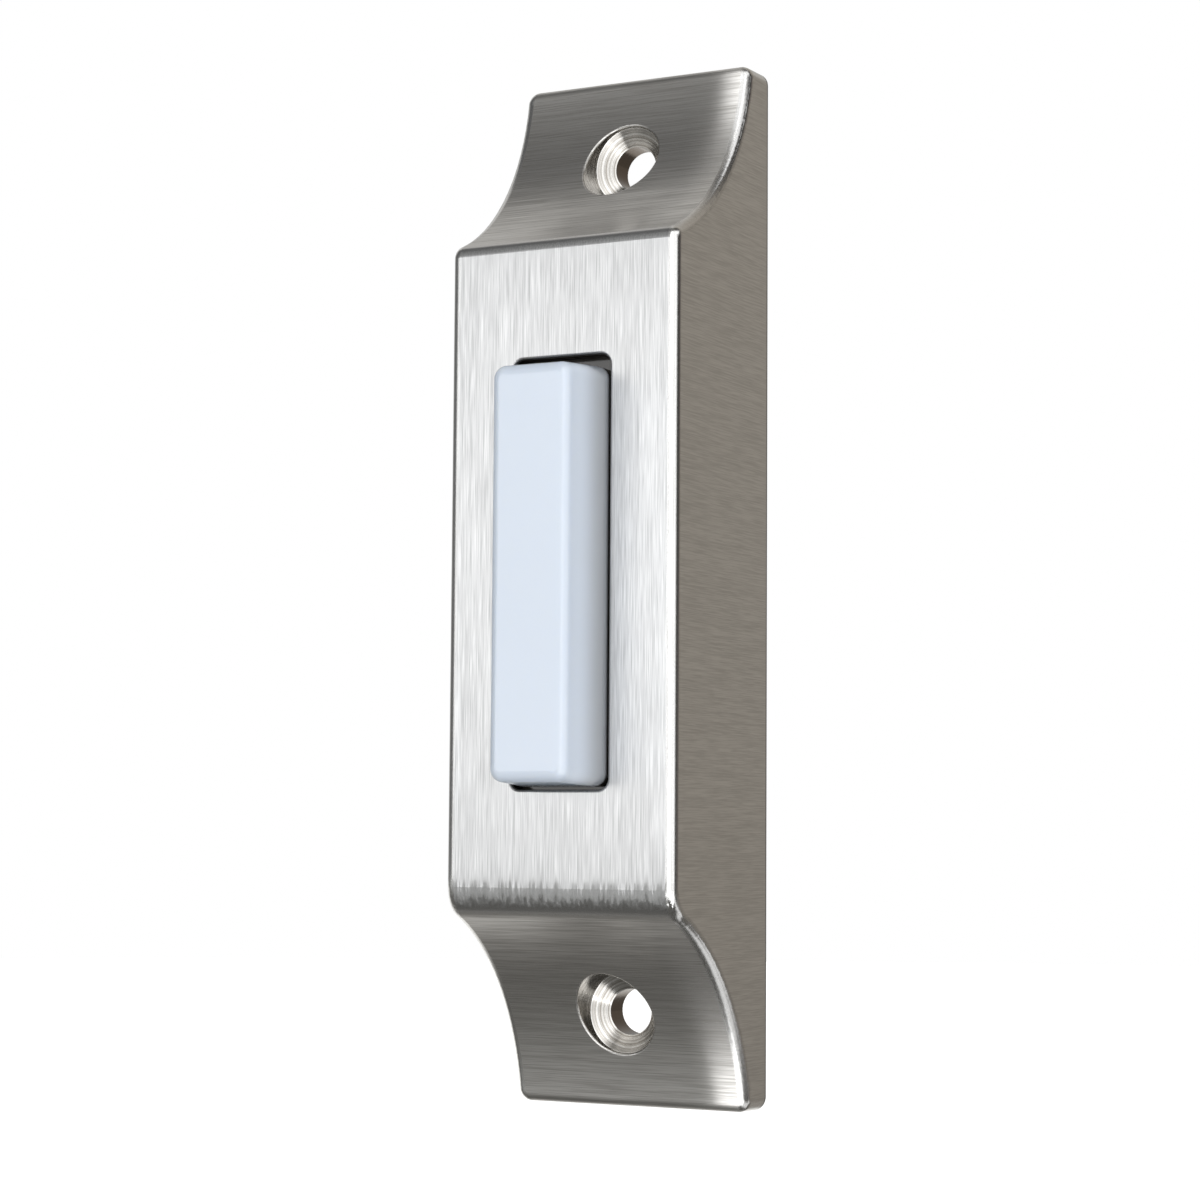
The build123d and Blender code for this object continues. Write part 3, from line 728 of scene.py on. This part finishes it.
def turn_point():
    """The silver point: a shallow dome behind the leaf, and a tail riveted over in front of it."""
    first_depth = POINT_OUTLINE[0][1] * MM
    bpy.ops.object.select_all(action="DESELECT")
    bpy.ops.mesh.primitive_plane_add(size=MM, location=(0.0, LEAF_TIP_BACK_Y + first_depth, POINT_Z))
    point = bpy.context.object
    point.name = "turned_point"
    bpy.ops.object.transform_apply(location=True, rotation=True, scale=True)
    bpy.ops.object.mode_set(mode="EDIT")
    bpy.ops.mesh.select_all(action="SELECT")
    bpy.ops.mesh.merge(type="CENTER")
    for (radius, depth), (next_radius, next_depth) in zip(POINT_OUTLINE, POINT_OUTLINE[1:]):
        step = (0.0, (next_depth - depth) * MM, (next_radius - radius) * MM)
        bpy.ops.mesh.extrude_vertices_move(TRANSFORM_OT_translate={"value": step})
    bpy.ops.mesh.select_all(action="SELECT")
    bpy.ops.mesh.spin(
        steps=POINT_SPIN_STEPS,
        angle=2 * pi,
        center=(0.0, LEAF_TIP_BACK_Y, POINT_Z),
        axis=(0.0, 1.0, 0.0),
    )
    bpy.ops.mesh.select_all(action="SELECT")
    bpy.ops.mesh.remove_doubles(threshold=MERGE_DISTANCE)
    bpy.ops.mesh.normals_make_consistent(inside=False)
    bpy.ops.object.mode_set(mode="OBJECT")
    bpy.ops.object.shade_smooth_by_angle(angle=radians(35.0))
    point.data.materials.append(contact_silver)
    return point


for piece, node, slot in (
    (press_leaf(), "contact_leaf", "leaf_brass"),
    (turn_point(), "leaf_contact_point", "silver_contact"),
):
    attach(piece, "housing_body")
    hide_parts(node)
    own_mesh(piece)
    low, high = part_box(node)
    print(piece.name, "between y", *depths_in_mm(piece))
    print("its solid between y", round(low.y / MM, 2), round(high.y / MM, 2))

# %% [markdown]
# Metal shows what is around it, so lighting brushed nickel means placing bright and dark areas where its
# faces will find them. The room comes first. It is dim, and differs from side to side: dark in front
# and hard to the right, which gives the thin dark lines along the edges, and lighter and warmer behind,
# where the flank looks. The camera itself sees plain white behind the part.

# %% Room
WHITE = (1.0, 1.0, 1.0, 1.0)
ROOM_BEHIND = ((0.42, 0.42, 0.41, 1.0), (0.37, 0.34, 0.30, 1.0))
ROOM_CEILING = ((0.62, 0.61, 0.59, 1.0), (0.34, 0.31, 0.27, 1.0))
ROOM_BEFORE = ((0.20, 0.20, 0.195, 1.0), (0.15, 0.148, 0.142, 1.0))
ROOM_GAPS = (
    (106.0, 22.0, 7.0, (0.045, 0.042, 0.04, 1.0)),
    (-78.0, 26.0, 10.0, (0.11, 0.11, 0.11, 1.0)),
)


def toward(azimuth):
    """Level direction at an azimuth: 0 is straight in front of the part, 90 on its right."""
    return Vector((sin(radians(azimuth)), -cos(radians(azimuth)), 0.0))


def zone(tree, way, azimuth, half_width, softness):
    """1 where the level part of a direction lies within half_width degrees of an azimuth."""
    level = vector_math(tree, "NORMALIZE", vector_math(tree, "MULTIPLY", way, (1.0, 1.0, 0.0)))
    aim = add_node(tree, "ShaderNodeVectorMath", {0: level, 1: toward(azimuth)}, operation="DOT_PRODUCT")
    outer, inner = cos(radians(half_width + softness)), cos(radians(half_width - softness))
    return step_between(tree, aim.outputs["Value"], outer, inner)


def make_room():
    """A dim surround for the metal to reflect, and white for the camera."""
    world = bpy.data.worlds.new("studio")
    bpy.context.scene.world = world
    world.use_nodes = True
    tree = world.node_tree
    tree.nodes.clear()
    way = add_node(tree, "ShaderNodeTexCoord").outputs["Generated"]
    xyz = add_node(tree, "ShaderNodeSeparateXYZ", {0: way}).outputs
    to_right = step_between(tree, xyz["X"], -0.3, 0.5)
    behind = mix_colours(tree, to_right, *ROOM_BEHIND)
    ceiling = mix_colours(tree, to_right, *ROOM_CEILING)
    behind = mix_colours(tree, step_between(tree, xyz["Z"], 0.25, 0.60), behind, ceiling)
    before = mix_colours(tree, step_between(tree, xyz["Z"], 0.45, 0.85), *ROOM_BEFORE)
    surround = mix_colours(tree, step_between(tree, xyz["Y"], 0.05, -0.25), behind, before)
    for azimuth, half_width, softness, tone in ROOM_GAPS:
        surround = mix_colours(tree, zone(tree, way, azimuth, half_width, softness), surround, tone)
    seen = add_node(tree, "ShaderNodeLightPath").outputs["Is Camera Ray"]
    colour = mix_colours(tree, seen, surround, WHITE)
    background = add_node(tree, "ShaderNodeBackground", {"Color": colour, "Strength": 1.0})
    add_node(tree, "ShaderNodeOutputWorld", {"Surface": background.outputs[0]})
    return world


print("room:", make_room().name)

# %% [markdown]
# The floor is pale, and fades to white far off. The lower cove and the crease above it look straight
# down at it, though, and a plain pale floor would wash them out. So what they see of it is painted in
# bands, light behind and dark below the part, by a colour ramp from front to back. To the right it is
# dark, for the same thin lines as the room's. A Light Path node keeps this from the camera.

# %% Floor
FLOOR_DROP = 0.45
FLOOR_RADIUS = 9.0
FLOOR_PALE = ((0.78, 0.78, 0.77, 1.0), (0.84, 0.84, 0.83, 1.0))
FLOOR_NEAR = (0.52, 0.52, 0.515, 1.0)
FLOOR_RIGHT = ((0.05, 0.047, 0.042, 1.0), (0.25, 0.23, 0.205, 1.0))
FLOOR_BANDS = (
    (-1.20, (0.31, 0.31, 0.30, 1.0)),
    (-0.50, (0.25, 0.25, 0.24, 1.0)),
    (-0.28, (0.14, 0.138, 0.13, 1.0)),
    (0.00, (0.075, 0.072, 0.066, 1.0)),
    (0.12, (0.20, 0.195, 0.185, 1.0)),
    (0.26, (0.52, 0.51, 0.49, 1.0)),
    (0.42, (0.95, 0.94, 0.91, 1.0)),
)


def banded_tones(tree, front_to_back):
    """The floor's bands, as a ramp along a place in metres."""
    nearest, furthest = FLOOR_BANDS[0][0], FLOOR_BANDS[-1][0]
    sockets = {"Value": front_to_back, "From Min": nearest, "From Max": furthest}
    share = add_node(tree, "ShaderNodeMapRange", sockets).outputs[0]
    ramp = add_node(tree, "ShaderNodeValToRGB", {0: share})
    stops = ramp.color_ramp.elements
    while len(stops) < len(FLOOR_BANDS):
        stops.new(0.5)
    for stop, (place, tone) in zip(stops, FLOOR_BANDS):
        stop.position = (place - nearest) / (furthest - nearest)
        stop.color = tone
    return ramp.outputs[0]


def make_pale_floor():
    """Pale to the camera; banded tones to everything that reflects it."""
    material, tree, shader = start_material("pale_floor", Roughness=0.8, Emission_Strength=1.0)
    place = object_place(tree)
    xyz = add_node(tree, "ShaderNodeSeparateXYZ", {0: place}).outputs
    seen = add_node(tree, "ShaderNodeLightPath").outputs["Is Camera Ray"]
    pale = mix_colours(tree, noise(tree, place, 60.0), *FLOOR_PALE)
    tree.links.new(mix_colours(tree, seen, (0.0, 0.0, 0.0, 1.0), pale), shader.inputs["Base Color"])
    fading = step_between(tree, length(tree, place), 0.8, 2.2)
    far_white = mix_colours(tree, fading, FLOOR_NEAR, WHITE)
    at_right = mix_colours(tree, step_between(tree, xyz["Y"], 0.45, 0.95), *FLOOR_RIGHT)
    to_right = step_between(tree, xyz["X"], -0.05, 0.15)
    tones = mix_colours(tree, to_right, banded_tones(tree, xyz["Y"]), at_right)
    tree.links.new(mix_colours(tree, seen, tones, far_white), shader.inputs["Emission Color"])
    return material


bpy.ops.object.select_all(action="DESELECT")
bpy.ops.mesh.primitive_circle_add(
    vertices=96, radius=FLOOR_RADIUS, fill_type="NGON", location=(0.0, 0.0, -FLOOR_DROP)
)
floor = bpy.context.object
floor.name = "studio_floor"
floor.data.materials.append(make_pale_floor())
print("floor", FLOOR_DROP / MM, "mm below the part's middle")

# %% [markdown]
# Last come the lights, all soft panels that face the part. The front face looks past the camera's left,
# and a wide low panel there turns it nearly white. A tall panel and a strip to the right of the camera
# draw the white bands along the right-hand edges, and a narrow one further round makes them crisp.
# The coves' right rims look down and up to the right, where a card each gives them their bright line.
# One more card lights the lower ear from below. The camera can't see the panels, and the low card at
# the rim is also kept off the button, whose side it would lighten.

# %% Lights
PANELS = (
    # name, azimuth, elevation, distance, width, height, radiance
    ("front_left_panel", -27.0, 6.0, 0.9, 0.62, 0.36, 1.40),
    ("right_tall_panel", 33.0, 0.0, 0.9, 1.30, 3.0, 0.95),
    ("right_strip", 18.0, 0.0, 0.88, 0.34, 2.4, 0.9),
    ("right_side_panel", 72.0, 0.0, 0.9, 0.22, 2.6, 0.85),
    ("right_low_card", 33.0, -40.0, 0.6, 0.75, 0.36, 1.70),
    ("right_high_card", 92.0, 42.0, 0.9, 0.42, 0.34, 1.10),
    ("right_floor_card", 98.0, -40.0, 0.5, 0.46, 0.22, 0.75),
)


def add_panel(name, azimuth, elevation, distance, width, height, radiance):
    """A soft rectangular light that faces the part."""
    away = toward(azimuth) * cos(radians(elevation)) + Vector((0.0, 0.0, sin(radians(elevation))))
    light = bpy.data.lights.new(name, "AREA")
    light.shape = "RECTANGLE"
    light.size = width
    light.size_y = height
    light.energy = radiance * pi * width * height
    panel = bpy.data.objects.new(name, light)
    panel.location = away * distance
    panel.rotation_mode = "QUATERNION"
    panel.rotation_quaternion = away.to_track_quat("Z", "Y")
    panel.visible_camera = False
    bpy.context.scene.collection.objects.link(panel)
    return panel


for panel_measures in PANELS:
    panel = add_panel(*panel_measures)
    panel.visible_diffuse = panel.name != "right_floor_card"
print("lights:", [light.name for light in bpy.data.lights])
